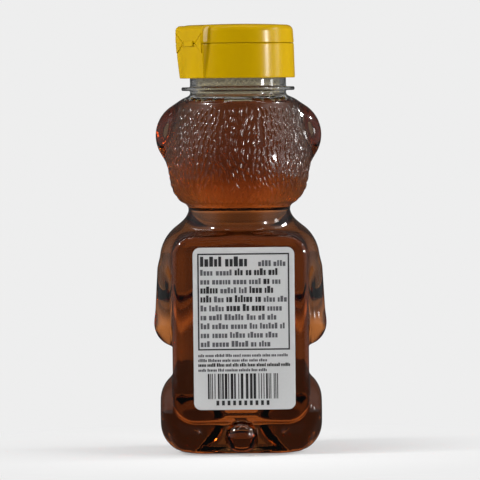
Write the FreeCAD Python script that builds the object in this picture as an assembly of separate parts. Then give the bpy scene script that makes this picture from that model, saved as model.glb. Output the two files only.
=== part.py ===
import FreeCAD
import Part

import math
import os

from FreeCAD import Matrix, Placement, Rotation, Vector

# Honey bear squeeze bottle: a thin blown bottle in the shape of a sitting bear, the honey in it,
# the film label on its back, and a screw cap with a flip lid on a butterfly hinge.
# The origin is on the neck's axis, on the surface the bottle stands on. +Z is up, the bear
# faces +Y and the label faces -Y. Sizes are millimetres and degrees.

# Bottle walls
WALL = 0.7
NECK_WALL = 1.9
HONEY_GAP = 0.1

# Torso: a block with a flat label panel behind and a softer belly in front
TORSO_WIDTH = 49.0
TORSO_BOTTOM = 11.7
TORSO_HEIGHT = 67.7
TORSO_BACK = 22.0
TORSO_FRONT = 21.4
TORSO_CORNER_RADIUS = 8.0
PANEL_EDGE_RADIUS = 2.6
BELLY_EDGE_RADIUS = 7.0
BELLY_PROUD = 3.0
BELLY_RADIUS = 18.0
BELLY_DROP = 33.4

# Shoulders: a round bar across the top of the torso
SHOULDER_RADIUS = 15.0
SHOULDER_DROP = 9.4
SHOULDER_OVERHANG = 4.5

# Head: a straight crown on a round face that turns in to the chin
HEAD_RADIUS = 25.3
HEAD_RISE = 24.5
JOWL_RADIUS = 11.0
JOWL_ANGLE = 18.4
CHIN_RADIUS = 18.2
CROWN_RADIUS = 20.7
CROWN_RISE = 24.7
CROWN_EDGE_RADIUS = 2.6

# Ears
EAR_RADIUS = 12.7
EAR_THICKNESS = 18.0
EAR_REACH = 30.1
EAR_RISE = 10.9
EAR_FORWARD = 2.5
EAR_DISH_RADIUS = 6.5
EAR_DISH_DEPTH = 1.4
EAR_DISH_RIM = 1.8

# Face
MUZZLE_WIDTH = 20.0
MUZZLE_HEIGHT = 14.0
MUZZLE_PROUD = 0.9
MUZZLE_DROP = 5.6
NOSE_WIDTH = 6.6
NOSE_HEIGHT = 4.2
NOSE_PROUD = 0.4
NOSE_RISE = 3.4
EYE_RADIUS = 2.0
EYE_SPACING = 17.0
EYE_RISE = 6.6
EYE_PROUD = 1.0

# Arms: hanging beside the torso, with the forearms round its front corners
ARM_OVERHANG = 6.6
ARM_BACK = 1.0
SHOULDER_JOINT_DROP = 13.4
SHOULDER_JOINT_RADIUS = 7.5
SHOULDER_JOINT_INSET = 1.1
ELBOW_DROP = 32.7
ELBOW_RADIUS = 8.3
FOREARM_RADIUS = 7.6
WRIST_RADIUS = 6.6
WRIST_OVERHANG = 4.4
WRIST_RISE = 2.6
HAND_RADIUS = 6.0
PAW_RADIUS = 6.2
PAW_SPACING = 24.0
PAW_PROUD = 4.0
PAW_RISE = 8.0

# Seat, legs, feet and tail
SEAT_WIDTH = 40.0
SEAT_BACK = 18.0
SEAT_FRONT = 18.5
SEAT_HEIGHT = 24.0
SEAT_CORNER_RADIUS = 7.0
SEAT_EDGE_RADIUS = 2.0
LEG_OVERHANG = 4.7
LEG_WIDTH = 22.0
LEG_RADIUS = 15.3
LEG_BACK = 4.0
LEG_SINK = 0.3
FOOT_RADIUS = 11.3
FOOT_SPACING = 34.0
FOOT_REACH = 26.0
FOOT_SINK = 0.4
TAIL_RADIUS = 5.85
TAIL_PROUD = 8.6
TAIL_HEIGHT = 6.8
DISH_RADIUS = 11.0
DISH_DEPTH = 2.0

# Neck finish
NECK_RADIUS = 17.4
NECK_LENGTH = 17.4
BEAD_RADIUS = 20.5
BEAD_THICKNESS = 1.3
BEAD_RISE = 2.4
BEAD_CHAMFER = 0.4

# Honey
HONEY_ULLAGE = 1.2

# Label
LABEL_SIDE_MARGIN = 6.3
LABEL_BOTTOM_MARGIN = 5.0
LABEL_TOP_MARGIN = 4.5
LABEL_CORNER_RADIUS = 2.6
LABEL_THICKNESS = 0.12
LABEL_SHIFT = 1.3

# Closure: screw base, loose liner and flip lid
LINER_THICKNESS = 0.5
LINER_CLEARANCE = 0.05
THREAD_SPACE = 1.6
CAP_WALL = 1.4
CAP_HEIGHT = 12.5
CAP_DRAFT = 0.3
CAP_EDGE_RADIUS = 0.4
DECK_THICKNESS = 1.4
LANDING_RING_WALL = 1.2
LANDING_RING_HEIGHT = 1.5
LID_FIT = 0.7
ORIFICE_RADIUS = 3.2
SPOUT_WALL = 1.6
SPOUT_FLARE = 0.8
SPOUT_HEIGHT = 3.0
LID_HEIGHT = 7.1
LID_CROWN = 0.6
LID_TOP_THICKNESS = 1.3
LID_EDGE_RADIUS = 2.0
PARTING_GAP = 0.12
PLUG_CLEARANCE = 0.25
PLUG_TAPER = 0.35
PLUG_WALL = 1.1
PLUG_ENGAGEMENT = 1.6
PLUG_HOLLOW = 3.0

# Thumb lip on the lid, over a scoop in the base
LIP_PROUD = 0.7
LIP_WIDTH = 12.0
LIP_HEIGHT = 1.8
SCOOP_RADIUS = 9.0
SCOOP_DEPTH = 1.1
SCOOP_DROP = 4.4

# Butterfly hinge, on a flat pad that squares off one side of the cap
HINGE_DIRECTION = 210.0
PAD_HALF_WIDTH = 10.0
PAD_FADE_HEIGHT = 0.6
PAD_FADE_INSET = 1.0
WING_HEIGHT = 3.4
WING_WIDTH = 4.6
WING_THICKNESS = 0.7
WING_MARGIN = 0.9
WING_SLIT = 0.4
POCKET_DEPTH = 1.2
FILM_WIDTH = 7.4
FILM_HEIGHT = 2.0
FILM_THICKNESS = 0.35
FILM_CLEARANCE = 0.06

# Places that follow from the sizes above
TORSO_SIDE = TORSO_WIDTH / 2
TORSO_TOP = TORSO_BOTTOM + TORSO_HEIGHT
HEAD_CENTRE = TORSO_TOP + HEAD_RISE
HEAD_TOP = HEAD_CENTRE + CROWN_RISE
ELBOW_CENTRE = TORSO_TOP - ELBOW_DROP
NECK_TOP = HEAD_TOP + NECK_LENGTH
HONEY_LEVEL = HEAD_TOP - HONEY_ULLAGE
DECK_UNDERSIDE = NECK_TOP + LINER_THICKNESS + 2 * LINER_CLEARANCE
PARTING = DECK_UNDERSIDE + DECK_THICKNESS
CAP_BOTTOM = PARTING - CAP_HEIGHT
CAP_INNER_RADIUS = NECK_RADIUS + THREAD_SPACE
CAP_RADIUS = CAP_INNER_RADIUS + CAP_WALL
LID_TOP = PARTING + LID_HEIGHT
LID_UNDERSIDE = LID_TOP - LID_CROWN - LID_TOP_THICKNESS
LANDING_RADIUS = CAP_INNER_RADIUS - LID_FIT
REACH = 500.0


def both_sides(shape):
    return [shape, shape.mirror(Vector(0, 0, 0), Vector(1, 0, 0))]


def joined(shapes):
    whole = shapes[0]
    for shape in shapes[1:]:
        whole = whole.fuse(shape)
    return whole


def ball_over(radius, depth):
    """The radius of a sphere whose cap has that radius and depth."""
    return (radius**2 + depth**2) / (2 * depth)


def round_cone(start, start_radius, end, end_radius):
    """A tapered limb: two balls and the cone that touches both."""
    along = end - start
    length = along.Length
    slant = math.asin((start_radius - end_radius) / length)

    def on_ball(centre, radius, angle):
        return Vector(radius * math.sin(angle), 0, centre - radius * math.cos(angle))

    touch = math.pi / 2 + slant
    near = [on_ball(0, start_radius, share * touch) for share in (0, 0.5, 1)]
    far = [on_ball(length, end_radius, touch + share * (math.pi - touch)) for share in (0, 0.5, 1)]
    edges = [
        Part.Arc(*near).toShape(),
        Part.LineSegment(near[2], far[0]).toShape(),
        Part.Arc(*far).toShape(),
        Part.LineSegment(far[2], near[0]).toShape(),
    ]
    solid = Part.Face(Part.Wire(edges)).revolve(Vector(0, 0, 0), Vector(0, 0, 1), 360)
    solid.Placement = Placement(start, Rotation(Vector(0, 0, 1), along))
    return solid


def rounded_slab(left, right, bottom, top, radius, back, front):
    """An upright slab whose outline, seen from behind, is a rounded rectangle."""
    slab = Part.makeBox(right - left, front - back, top - bottom, Vector(left, back, bottom))
    corners = [e for e in slab.Edges if abs(e.tangentAt(e.FirstParameter).y) > 0.9]
    return slab.makeFillet(radius, corners)


def edges_on_plane(shape, axis, place):
    return [
        e
        for e in shape.Edges
        if all(abs(getattr(v.Point, axis) - place) < 1e-6 for v in e.Vertexes)
    ]


def revolved(points):
    """A solid of revolution about Z from a closed outline of (radius, height) points."""
    outline = [Vector(radius, 0, height) for radius, height in points]
    wire = Part.makePolygon(outline + outline[:1])
    return Part.Face(wire).revolve(Vector(0, 0, 0), Vector(0, 0, 1), 360)


def outline_revolved(edges):
    return Part.Face(Part.Wire(edges)).revolve(Vector(0, 0, 0), Vector(0, 0, 1), 360)


def line(start, end):
    return Part.LineSegment(start, end).toShape()


def polar(centre, radius, angle):
    """A point on a circle in the XZ plane, with the angle in degrees up from +X."""
    turn = math.radians(angle)
    return centre + Vector(radius * math.cos(turn), 0, radius * math.sin(turn))


def arc(centre, radius, start_angle, end_angle):
    angles = (start_angle, (start_angle + end_angle) / 2, end_angle)
    return Part.Arc(*[polar(centre, radius, angle) for angle in angles]).toShape()


def rounded_disc(centre, axis, radius, half_thickness):
    """A flat disc with a fully round rim."""
    rim = Vector(radius - half_thickness, 0, 0)
    low = Vector(0, 0, -half_thickness)
    high = Vector(0, 0, half_thickness)
    edges = [
        line(high, low),
        line(low, rim + low),
        arc(rim, half_thickness, -90, 90),
        line(rim + high, high),
    ]
    disc = outline_revolved(edges)
    disc.Placement = Placement(centre, Rotation(Vector(0, 0, 1), axis))
    return disc


def torso(inset):
    side = TORSO_SIDE - inset
    back = inset - TORSO_BACK
    front = TORSO_FRONT - inset
    slab = rounded_slab(
        -side,
        side,
        TORSO_BOTTOM + inset,
        TORSO_TOP - inset,
        TORSO_CORNER_RADIUS - inset,
        back,
        front,
    )
    slab = slab.makeFillet(PANEL_EDGE_RADIUS - inset, edges_on_plane(slab, "y", back))
    return slab.makeFillet(BELLY_EDGE_RADIUS - inset, edges_on_plane(slab, "y", front))


def belly(inset):
    """A shallow dome on the torso's front, rooted inside the wall."""
    radius = ball_over(BELLY_RADIUS, BELLY_PROUD)
    rooted = radius - BELLY_PROUD - 2 * WALL
    latitude = math.degrees(math.asin(rooted / (radius - inset)))
    dome = Part.makeSphere(radius - inset, Vector(0, 0, 0), Vector(0, 1, 0), latitude, 90, 360)
    return dome.translated(Vector(0, TORSO_FRONT + BELLY_PROUD - radius, TORSO_TOP - BELLY_DROP))


def shoulders(inset):
    end = Vector(TORSO_SIDE + SHOULDER_OVERHANG - SHOULDER_RADIUS, 0, TORSO_TOP - SHOULDER_DROP)
    other_end = Vector(-end.x, 0, end.z)
    return round_cone(other_end, SHOULDER_RADIUS - inset, end, SHOULDER_RADIUS - inset)


def head(inset):
    """A revolved profile of neck, jowl, round face, straight crown and rounded top."""
    face_centre = Vector(0, 0, HEAD_CENTRE)
    face_radius = HEAD_RADIUS - inset
    jowl_centre = polar(face_centre, HEAD_RADIUS - JOWL_RADIUS, -JOWL_ANGLE)
    jowl_radius = JOWL_RADIUS - inset
    crown_radius = CROWN_EDGE_RADIUS - inset
    crown_centre = Vector(CROWN_RADIUS - CROWN_EDGE_RADIUS, 0, HEAD_TOP - CROWN_EDGE_RADIUS)
    chin_angle = math.degrees(math.acos((CHIN_RADIUS - inset - jowl_centre.x) / jowl_radius))
    span = crown_centre - face_centre
    slope = math.degrees(math.asin((face_radius - crown_radius) / span.Length))
    crown_angle = math.degrees(math.atan2(span.z, span.x)) - 90 + slope
    chin = polar(jowl_centre, jowl_radius, -chin_angle)
    top = Vector(0, 0, crown_centre.z + crown_radius)
    root = Vector(0, 0, TORSO_TOP - SHOULDER_DROP)
    edges = [
        line(top, root),
        line(root, Vector(chin.x, 0, root.z)),
        line(Vector(chin.x, 0, root.z), chin),
        arc(jowl_centre, jowl_radius, -chin_angle, -JOWL_ANGLE),
        arc(face_centre, face_radius, -JOWL_ANGLE, crown_angle),
        line(polar(face_centre, face_radius, crown_angle), polar(crown_centre, crown_radius, crown_angle)),
        arc(crown_centre, crown_radius, crown_angle, 90),
        line(polar(crown_centre, crown_radius, 90), top),
    ]
    return outline_revolved(edges).rotated(Vector(0, 0, 0), Vector(0, 0, 1), -90)


def ears(inset):
    """Thick round ears, each with a shallow hollow in its front."""
    centre = Vector(EAR_REACH - EAR_RADIUS, EAR_FORWARD, HEAD_CENTRE + EAR_RISE)
    ear = rounded_disc(centre, Vector(0, 1, 0), EAR_RADIUS - inset, EAR_THICKNESS / 2 - inset)
    radius = ball_over(EAR_DISH_RADIUS, EAR_DISH_DEPTH)
    dish_y = EAR_FORWARD + EAR_THICKNESS / 2 - EAR_DISH_DEPTH + radius
    dish_centre = Vector(EAR_REACH - EAR_DISH_RIM - EAR_DISH_RADIUS, dish_y, centre.z)
    return both_sides(ear.cut(Part.makeSphere(radius + inset, dish_centre)))


def muzzle(inset):
    radius = MUZZLE_HEIGHT / 2
    end = Vector(MUZZLE_WIDTH / 2 - radius, HEAD_RADIUS + MUZZLE_PROUD - radius, HEAD_CENTRE - MUZZLE_DROP)
    return round_cone(Vector(-end.x, end.y, end.z), radius - inset, end, radius - inset)


def face_details():
    """Nose and eyes, solid in the wall."""
    nose_radius = NOSE_HEIGHT / 2
    nose_y = HEAD_RADIUS + MUZZLE_PROUD + NOSE_PROUD - nose_radius
    nose_end = Vector(NOSE_WIDTH / 2 - nose_radius, nose_y, HEAD_CENTRE - MUZZLE_DROP + NOSE_RISE)
    nose = round_cone(Vector(-nose_end.x, nose_end.y, nose_end.z), nose_radius, nose_end, nose_radius)
    face = math.sqrt(HEAD_RADIUS**2 - EYE_RISE**2 - (EYE_SPACING / 2) ** 2)
    eye_centre = Vector(EYE_SPACING / 2, face + EYE_PROUD - EYE_RADIUS, HEAD_CENTRE + EYE_RISE)
    return [nose] + both_sides(Part.makeSphere(EYE_RADIUS, eye_centre))


def arms(inset):
    shoulder_x = TORSO_SIDE + ARM_OVERHANG - SHOULDER_JOINT_RADIUS - SHOULDER_JOINT_INSET
    shoulder = Vector(shoulder_x, -ARM_BACK, TORSO_TOP - SHOULDER_JOINT_DROP)
    elbow = Vector(TORSO_SIDE + ARM_OVERHANG - ELBOW_RADIUS, -ARM_BACK, ELBOW_CENTRE)
    wrist_x = TORSO_SIDE + WRIST_OVERHANG - WRIST_RADIUS
    wrist_y = TORSO_FRONT - BELLY_EDGE_RADIUS + WRIST_OVERHANG / 2
    wrist = Vector(wrist_x, wrist_y, ELBOW_CENTRE + WRIST_RISE)
    paw = Vector(PAW_SPACING / 2, TORSO_FRONT + PAW_PROUD - PAW_RADIUS, ELBOW_CENTRE + PAW_RISE)
    limbs = [
        round_cone(shoulder, SHOULDER_JOINT_RADIUS - inset, elbow, ELBOW_RADIUS - inset),
        round_cone(elbow, FOREARM_RADIUS - inset, wrist, WRIST_RADIUS - inset),
        round_cone(wrist, HAND_RADIUS - inset, paw, PAW_RADIUS - inset),
    ]
    return both_sides(joined(limbs))


def seat(inset):
    side = SEAT_WIDTH / 2 - inset
    size = (2 * side, SEAT_BACK + SEAT_FRONT - 2 * inset, SEAT_HEIGHT - inset)
    block = Part.makeBox(*size, Vector(-side, inset - SEAT_BACK, inset))
    uprights = [e for e in block.Edges if abs(e.tangentAt(e.FirstParameter).z) > 0.9]
    block = block.makeFillet(SEAT_CORNER_RADIUS - inset, uprights)
    return block.makeFillet(SEAT_EDGE_RADIUS - inset, edges_on_plane(block, "z", inset))


def legs(inset):
    """Thighs as thick round discs on the hips, with a ball for each foot."""
    leg_x = TORSO_SIDE + LEG_OVERHANG - LEG_WIDTH / 2
    leg_centre = Vector(leg_x, -LEG_BACK, LEG_RADIUS - LEG_SINK)
    leg = rounded_disc(leg_centre, Vector(1, 0, 0), LEG_RADIUS - inset, LEG_WIDTH / 2 - inset)
    foot_centre = Vector(FOOT_SPACING / 2, FOOT_REACH - FOOT_RADIUS, FOOT_RADIUS - FOOT_SINK)
    foot = Part.makeSphere(FOOT_RADIUS - inset, foot_centre)
    return both_sides(leg) + both_sides(foot)


def tail(inset):
    centre = Vector(0, TAIL_RADIUS - SEAT_BACK - TAIL_PROUD, TAIL_HEIGHT)
    return Part.makeSphere(TAIL_RADIUS - inset, centre)


def bear(inset):
    """The whole bear as one solid, with every wall moved in by inset and its base cut flat."""
    parts = [torso(inset), belly(inset), shoulders(inset), head(inset), muzzle(inset)]
    parts += ears(inset) + arms(inset) + [seat(inset)] + legs(inset) + [tail(inset)]
    whole = joined(parts)
    above_ground = Part.makeBox(2 * REACH, 2 * REACH, REACH, Vector(-REACH, -REACH, inset))
    dish_radius = ball_over(DISH_RADIUS, DISH_DEPTH)
    dish = Part.makeSphere(dish_radius + inset, Vector(0, 0, DISH_DEPTH - dish_radius))
    return whole.common(above_ground).cut(dish)


def neck():
    root = HEAD_TOP - CROWN_EDGE_RADIUS
    bead_bottom = HEAD_TOP + BEAD_RISE
    bead_top = bead_bottom + BEAD_THICKNESS
    return revolved(
        [
            (0, root),
            (NECK_RADIUS, root),
            (NECK_RADIUS, bead_bottom),
            (BEAD_RADIUS - BEAD_CHAMFER, bead_bottom),
            (BEAD_RADIUS, bead_bottom + BEAD_CHAMFER),
            (BEAD_RADIUS, bead_top - BEAD_CHAMFER),
            (BEAD_RADIUS - BEAD_CHAMFER, bead_top),
            (NECK_RADIUS, bead_top),
            (NECK_RADIUS, NECK_TOP),
            (0, NECK_TOP),
        ]
    )


def bottle():
    outside = joined([bear(0.0), neck()] + face_details())
    root = HEAD_TOP - 2 * CROWN_EDGE_RADIUS
    bore = Part.makeCylinder(NECK_RADIUS - NECK_WALL, REACH, Vector(0, 0, root))
    return outside.cut(bear(WALL).fuse(bore))


def honey():
    below_level = Part.makeBox(2 * REACH, 2 * REACH, HONEY_LEVEL, Vector(-REACH, -REACH, 0))
    return bear(WALL + HONEY_GAP).common(below_level)


def back_label():
    side = TORSO_SIDE - LABEL_SIDE_MARGIN
    return rounded_slab(
        LABEL_SHIFT - side,
        LABEL_SHIFT + side,
        TORSO_BOTTOM + LABEL_BOTTOM_MARGIN,
        TORSO_TOP - LABEL_TOP_MARGIN,
        LABEL_CORNER_RADIUS,
        -TORSO_BACK - LABEL_THICKNESS,
        -TORSO_BACK,
    )


def cap_liner():
    radius = CAP_INNER_RADIUS - LID_FIT
    return Part.makeCylinder(radius, LINER_THICKNESS, Vector(0, 0, NECK_TOP + LINER_CLEARANCE))


def on_cap(shape):
    """Turns a closure piece that was drawn with its hinge towards +X to where the cap stops."""
    return shape.rotated(Vector(0, 0, 0), Vector(0, 0, 1), HINGE_DIRECTION)


def pad_outline(inset, height):
    """The pad's plan at one height, from inside the cap's wall out to the pad's flat face."""
    inner = CAP_INNER_RADIUS - CAP_WALL - inset
    half_width = PAD_HALF_WIDTH - inset
    face = CAP_RADIUS - inset
    points = [
        Vector(inner, -half_width, height),
        Vector(face, -half_width, height),
        Vector(face, half_width, height),
        Vector(inner, half_width, height),
    ]
    return Part.makePolygon(points + points[:1])


def wing_prism(margin, depth, proud):
    """A triangular prism on the pad, its tip at the parting line and its long side at the pad's edge."""
    outer = PAD_HALF_WIDTH - WING_MARGIN
    rise = WING_HEIGHT + 2 * margin
    points = [
        Vector(CAP_RADIUS - depth, outer + margin, PARTING + rise),
        Vector(CAP_RADIUS - depth, outer + margin, PARTING - rise),
        Vector(CAP_RADIUS - depth, outer - WING_WIDTH - 2 * margin, PARTING),
    ]
    face = Part.Face(Part.makePolygon(points + points[:1]))
    return face.extrude(Vector(depth + proud, 0, 0))


def wing_pockets():
    """Recesses behind both wings, open at the pad's edges."""
    pocket = wing_prism(WING_SLIT, POCKET_DEPTH, POCKET_DEPTH)
    other = pocket.mirror(Vector(0, 0, 0), Vector(0, 1, 0))
    return pocket.fuse(other)


def cap_base():
    spout = ORIFICE_RADIUS + SPOUT_WALL
    ring_inside = LANDING_RADIUS - LANDING_RING_WALL
    body = revolved(
        [
            (CAP_RADIUS + CAP_DRAFT - CAP_EDGE_RADIUS, CAP_BOTTOM),
            (CAP_RADIUS + CAP_DRAFT, CAP_BOTTOM + CAP_EDGE_RADIUS),
            (CAP_RADIUS, PARTING),
            (LANDING_RADIUS, PARTING),
            (LANDING_RADIUS, PARTING + LANDING_RING_HEIGHT),
            (ring_inside, PARTING + LANDING_RING_HEIGHT),
            (ring_inside, PARTING),
            (spout + SPOUT_FLARE, PARTING),
            (spout, PARTING + SPOUT_FLARE),
            (spout, PARTING + SPOUT_HEIGHT),
            (ORIFICE_RADIUS, PARTING + SPOUT_HEIGHT),
            (ORIFICE_RADIUS, DECK_UNDERSIDE),
            (CAP_INNER_RADIUS, DECK_UNDERSIDE),
            (CAP_INNER_RADIUS, CAP_BOTTOM),
        ]
    )
    pad = Part.makeLoft(
        [
            pad_outline(0.0, PARTING),
            pad_outline(PAD_FADE_INSET, CAP_BOTTOM + PAD_FADE_HEIGHT),
        ],
        True,
        True,
    )
    core = Part.makeCylinder(CAP_INNER_RADIUS, DECK_UNDERSIDE - CAP_BOTTOM, Vector(0, 0, CAP_BOTTOM))
    scoop_centre = Vector(SCOOP_DEPTH - CAP_RADIUS - SCOOP_RADIUS, 0, PARTING - SCOOP_DROP)
    scoop = Part.makeSphere(SCOOP_RADIUS, scoop_centre)
    return on_cap(body.fuse(pad).cut(core).cut(wing_pockets()).cut(scoop))


def lid_dome():
    """The lid's outside: a drum with a crowned top and a rounded rim."""
    bottom = PARTING + PARTING_GAP
    radius = ball_over(CAP_RADIUS, LID_CROWN)
    crown_centre = Vector(0, 0, LID_TOP - radius)
    rim_x = CAP_RADIUS - LID_EDGE_RADIUS
    rim_rise = math.sqrt((radius - LID_EDGE_RADIUS) ** 2 - rim_x**2)
    rim_centre = crown_centre + Vector(rim_x, 0, rim_rise)
    turn = math.degrees(math.atan2(rim_rise, rim_x))
    edges = [
        arc(crown_centre, radius, turn, 90),
        line(Vector(0, 0, LID_TOP), Vector(0, 0, bottom)),
        line(Vector(0, 0, bottom), Vector(CAP_RADIUS, 0, bottom)),
        line(Vector(CAP_RADIUS, 0, bottom), Vector(CAP_RADIUS, 0, rim_centre.z)),
        arc(rim_centre, LID_EDGE_RADIUS, 0, turn),
    ]
    return outline_revolved(edges)


def lid_pad():
    """The lid's half of the hinge pad, rounded along its top."""
    bottom = PARTING + PARTING_GAP
    shoulder = LID_TOP - LID_CROWN
    inner = CAP_INNER_RADIUS - CAP_WALL
    size = (CAP_RADIUS - inner, 2 * PAD_HALF_WIDTH, shoulder - bottom)
    pad = Part.makeBox(*size, Vector(inner, -PAD_HALF_WIDTH, bottom))
    top = edges_on_plane(pad, "z", shoulder)
    outer = [e for e in top if max(v.X for v in e.Vertexes) > CAP_RADIUS - 1e-6]
    return pad.makeFillet(LID_EDGE_RADIUS, outer)


def thumb_lip():
    bottom = PARTING + PARTING_GAP
    ring = Part.makeCylinder(CAP_RADIUS + LIP_PROUD, LIP_HEIGHT, Vector(0, 0, bottom))
    corner = Vector(-2 * CAP_RADIUS, -LIP_WIDTH / 2, bottom)
    return ring.common(Part.makeBox(2 * CAP_RADIUS, LIP_WIDTH, LIP_HEIGHT, corner))


def flip_lid():
    bottom = PARTING + PARTING_GAP
    hollow = Part.makeCylinder(CAP_INNER_RADIUS, LID_UNDERSIDE - bottom, Vector(0, 0, bottom))
    shell = joined([lid_dome(), lid_pad(), thumb_lip()]).cut(hollow).cut(wing_pockets())
    root_radius = ORIFICE_RADIUS - PLUG_CLEARANCE
    tip_radius = root_radius - PLUG_TAPER
    tip = Vector(0, 0, PARTING + SPOUT_HEIGHT - PLUG_ENGAGEMENT)
    length = LID_UNDERSIDE + LID_TOP_THICKNESS / 2 - tip.z
    plug = Part.makeCone(tip_radius, root_radius, length, tip)
    hole = Part.makeCylinder(tip_radius - PLUG_WALL, PLUG_HOLLOW, tip)
    return on_cap(shell.fuse(plug).cut(hole))


def hinge_wings():
    wing = wing_prism(0.0, WING_THICKNESS, 0.0)
    return on_cap(Part.makeCompound([wing, wing.mirror(Vector(0, 0, 0), Vector(0, 1, 0))]))


def hinge_film():
    corner = Vector(CAP_RADIUS + FILM_CLEARANCE, -FILM_WIDTH / 2, PARTING - FILM_HEIGHT / 2)
    return on_cap(Part.makeBox(FILM_THICKNESS, FILM_WIDTH, FILM_HEIGHT, corner))


def main():
    os.makedirs("parts", exist_ok=True)
    pieces = {
        "bottle": bottle(),
        "honey": honey(),
        "back_label": back_label(),
        "cap_liner": cap_liner(),
        "cap_base": cap_base(),
        "flip_lid": flip_lid(),
        "hinge_wings": hinge_wings(),
        "hinge_film": hinge_film(),
    }
    for name, shape in pieces.items():
        print(f"{name}: valid {shape.isValid()}, solids {len(shape.Solids)}, {shape.Volume:.0f} mm3")
        shape.exportStep(f"parts/{name}.step")


main()
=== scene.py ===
import math
import random

import bmesh
import bpy
import numpy as np
import openvdb
from mathutils import Matrix, Vector

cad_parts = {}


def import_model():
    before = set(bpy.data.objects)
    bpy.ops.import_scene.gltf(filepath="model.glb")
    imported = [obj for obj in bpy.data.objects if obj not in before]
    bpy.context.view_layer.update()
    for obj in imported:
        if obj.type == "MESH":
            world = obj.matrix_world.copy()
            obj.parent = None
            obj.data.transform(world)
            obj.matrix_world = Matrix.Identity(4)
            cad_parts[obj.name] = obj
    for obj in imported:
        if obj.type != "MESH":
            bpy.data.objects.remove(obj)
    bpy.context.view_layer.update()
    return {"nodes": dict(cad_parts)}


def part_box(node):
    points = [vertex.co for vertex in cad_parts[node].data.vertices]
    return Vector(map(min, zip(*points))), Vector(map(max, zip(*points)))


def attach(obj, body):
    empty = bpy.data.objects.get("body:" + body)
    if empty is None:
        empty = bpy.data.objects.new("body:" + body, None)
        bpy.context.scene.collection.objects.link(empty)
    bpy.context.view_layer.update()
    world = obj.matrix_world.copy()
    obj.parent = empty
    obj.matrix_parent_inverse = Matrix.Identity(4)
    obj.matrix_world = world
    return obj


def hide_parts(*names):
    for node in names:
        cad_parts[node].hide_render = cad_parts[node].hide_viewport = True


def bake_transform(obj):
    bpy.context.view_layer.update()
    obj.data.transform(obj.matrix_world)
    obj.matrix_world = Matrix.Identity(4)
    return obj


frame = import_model()

# A honey bear squeeze bottle. The blown shell, the honey and the moulded closure are distance fields
# in millimetres, meshed on a grid and set on the exact surface. The neck finish, the threads, the
# hinge and the label's print are mesh code, and the label and the liner are the solids themselves.
MM = 0.001
FAR = 1e3

# Bear, in millimetres
WALL = 0.7
HONEY_GAP = 0.1
TORSO_SIDE = 24.5
TORSO_BOTTOM = 11.7
TORSO_TOP = 79.4
TORSO_BACK = 22.0
TORSO_FRONT = 21.4
TORSO_CORNER = 8.0
PANEL_EDGE = 2.6
BELLY_EDGE = 7.0
BELLY_PROUD = 3.0
BELLY_RADIUS = 18.0
BELLY_HEIGHT = 46.0
SHOULDER_RADIUS = 15.0
SHOULDER_HEIGHT = 70.0
SHOULDER_END = 14.0
HEAD_CENTRE = 103.9
HEAD_RADIUS = 25.3
HEAD_TOP = 128.6
JOWL_RADIUS = 11.0
JOWL_ANGLE = math.radians(18.4)
CHIN_RADIUS = 18.2
CHIN_TUCK = 2.0
CHIN_EDGE = 1.0
CROWN_RADIUS = 20.7
CROWN_EDGE = 2.6
EAR_CENTRE = (17.4, 2.5, 114.8)
EAR_RADIUS = 12.7
EAR_HALF = 9.0
EAR_DISH_RADIUS = 6.5
EAR_DISH_DEPTH = 0.7
EAR_DISH_X = 21.8
MUZZLE_END = (3.0, 19.2, 98.3)
MUZZLE_RADIUS = 7.0
NOSE_END = (1.2, 24.5, 101.7)
NOSE_RADIUS = 2.1
EYE_CENTRE = (8.5, 21.9, 110.5)
EYE_RADIUS = 2.0
SHOULDER_JOINT = (22.5, -1.0, 66.0)
ELBOW = (22.8, -1.0, 46.7)
WRIST = (22.3, 16.6, 49.3)
PAW = (12.0, 19.2, 54.7)
UPPER_ARM_RADII = (7.5, 8.3)
FOREARM_RADII = (7.6, 6.6)
HAND_RADII = (6.0, 6.2)
LEG_CENTRE = (18.2, -4.0, 15.0)
LEG_RADIUS = 15.3
LEG_HALF = 11.0
HAUNCH_TOP = (22.0, -11.8, 15.0)
HAUNCH_LOW = (18.6, -12.9, 7.4)
HAUNCH_RADII = (6.5, 7.0)
FOOT_CENTRE = (17.0, 14.7, 10.9)
FOOT_RADIUS = 11.3
SEAT_HALF = (20.0, 18.25, 12.0)
SEAT_CENTRE = (0.0, 0.25, 12.0)
SEAT_CORNER = 7.0
SEAT_EDGE = 2.0
TAIL_CENTRE = (0.0, -20.75, 6.8)
TAIL_RADIUS = 5.85
BASE_EDGE = 1.4
BASE_DISH_RADIUS = 11.0
BASE_DISH_DEPTH = 2.0

# Reach of the fillets between the bear's forms
BELLY_BLEND = 2.5
SHOULDER_BLEND = 2.0
COLLAR_BLEND = 5.0
ELBOW_BLEND = 2.0
WRIST_BLEND = 3.0
ARM_BLEND = 1.2
EAR_DISH_BLEND = 0.8
EAR_BLEND = 3.5
MUZZLE_BLEND = 3.0
HEAD_BLEND = 2.0
NOSE_BLEND = 0.8
EYE_BLEND = 0.5
FOOT_BLEND = 3.0
LEG_BLEND = 1.6
HAUNCH_BLEND = 0.8
SEAT_BLEND = 1.4
TAIL_BLEND = 0.8
BASE_DISH_BLEND = 1.0
NECK_BLEND = 1.6
BORE_BLEND = 1.2

# Neck finish
NECK_RADIUS = 17.4
BORE_RADIUS = 15.5
NECK_SEAM = 129.7
NECK_SEGMENTS = 180
BEAD_BOTTOM = 131.0
BEAD_TOP = 132.3
BEAD_RADIUS = 20.5
THREAD_PITCH = 4.233
THREAD_DEPTH = 0.95
THREAD_WIDTH = 1.5
THREAD_STEPS = 72
THREAD_FADE = 10.0
THREAD_SINK = 0.3
THREAD_PHASE = 0.4
NECK_THREAD_START = 137.6
NECK_THREAD_TURNS = 1.5
CAP_THREAD_START = 139.0
CAP_THREAD_TURNS = 1.1

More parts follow.
